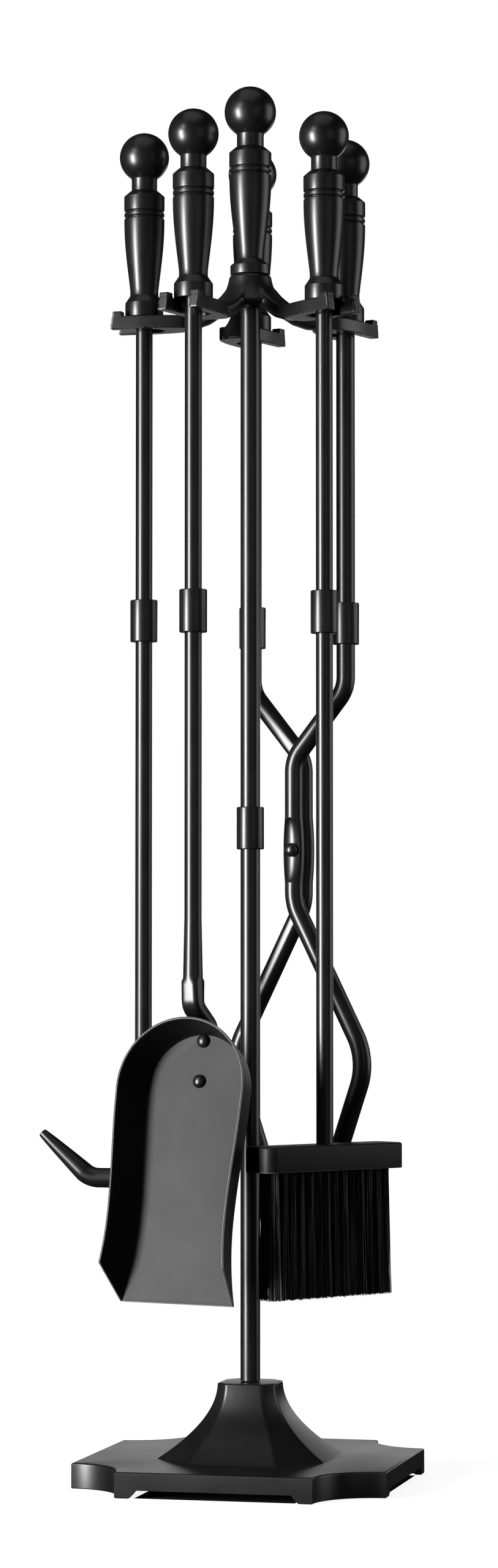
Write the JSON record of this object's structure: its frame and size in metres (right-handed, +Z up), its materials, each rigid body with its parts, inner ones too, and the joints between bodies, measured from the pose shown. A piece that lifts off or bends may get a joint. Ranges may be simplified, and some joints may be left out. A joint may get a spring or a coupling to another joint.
{
  "type": "fireplace tool set",
  "caption": "Black fireplace tool set: a stand with a notched square base and a forked hub, holding a poker, shovel, brush and tongs with ball-ended handles.",
  "frame": {"origin": "on the floor, under the middle of the whole set's outline", "axes": "+Z up along the pole; the base sides are square to X and Y; the shovel hangs towards -Y, the side seen from the front"},
  "size_m": [0.2184, 0.1982, 0.813],
  "materials": {
    "powder_black": "satin black powder coat on steel and cast iron",
    "bristle_black": "black synthetic bristle",
    "plated_steel": "plain plated steel fastener"
  },
  "bodies": {
    "stand": {"base_casting": "powder_black", "pole_bolt": "plated_steel", "pole_washer": "plated_steel", "lower_pole": "powder_black", "pole_coupling": "powder_black", "upper_pole": "powder_black", "hub": "powder_black", "handle_stud": "plated_steel", "stand_handle": "powder_black", "stand_ball": "powder_black"},
    "poker": {"poker_ball": "powder_black", "poker_coupling": "powder_black", "poker_handle": "powder_black", "poker_lower_rod": "powder_black", "poker_upper_rod": "powder_black"},
    "shovel": {"shovel_ball": "powder_black", "shovel_coupling": "powder_black", "shovel_handle": "powder_black", "shovel_lower_rod": "powder_black", "shovel_pan": "powder_black", "shovel_rivet_1": "powder_black", "shovel_rivet_2": "powder_black", "shovel_upper_rod": "powder_black"},
    "brush": {"brush_ball": "powder_black", "brush_bristles": "bristle_black", "brush_coupling": "powder_black", "brush_handle": "powder_black", "brush_holder": "powder_black", "brush_lower_rod": "powder_black", "brush_upper_rod": "powder_black"},
    "tongs_pivot": {"tongs_rivet": "powder_black"},
    "tongs_front": {"tongs_front_arm": "powder_black", "tongs_front_ball": "powder_black", "tongs_front_coupling": "powder_black", "tongs_front_handle": "powder_black", "tongs_front_upper_rod": "powder_black"},
    "tongs_back": {"tongs_back_arm": "powder_black", "tongs_back_ball": "powder_black", "tongs_back_coupling": "powder_black", "tongs_back_handle": "powder_black", "tongs_back_upper_rod": "powder_black"}
  },
  "joints": [
    {"name": "poker_lift", "type": "slide", "parent": "stand", "child": "poker", "axis": [-0.5, -0.0061, 0.866], "range_m": [0, 0.3]},
    {"name": "shovel_lift", "type": "slide", "parent": "stand", "child": "shovel", "axis": [-0.1487, -0.4774, 0.866], "range_m": [0, 0.3]},
    {"name": "brush_lift", "type": "slide", "parent": "stand", "child": "brush", "axis": [0.4081, -0.2889, 0.866], "range_m": [0, 0.3]},
    {"name": "tongs_lift", "type": "slide", "parent": "stand", "child": "tongs_pivot", "axis": [0.1487, 0.4774, 0.866], "range_m": [0, 0.3]},
    {"name": "tongs_front_swing", "type": "hinge", "parent": "tongs_pivot", "child": "tongs_front", "pos_m": [0.03455, 0.06187, 0.366], "axis": [-0.2974, -0.9548, 0], "range_deg": [0, 1.75]},
    {"name": "tongs_back_swing", "type": "hinge", "parent": "tongs_pivot", "child": "tongs_back", "pos_m": [0.03455, 0.06187, 0.366], "axis": [0.2974, 0.9548, 0], "range_deg": [0, 1.75]}
  ],
  "couplings": [
    {"joint": "tongs_front_swing", "follows": "tongs_lift", "rad_per_m": 0.0989},
    {"joint": "tongs_back_swing", "follows": "tongs_lift", "rad_per_m": 0.0989}
  ]
}
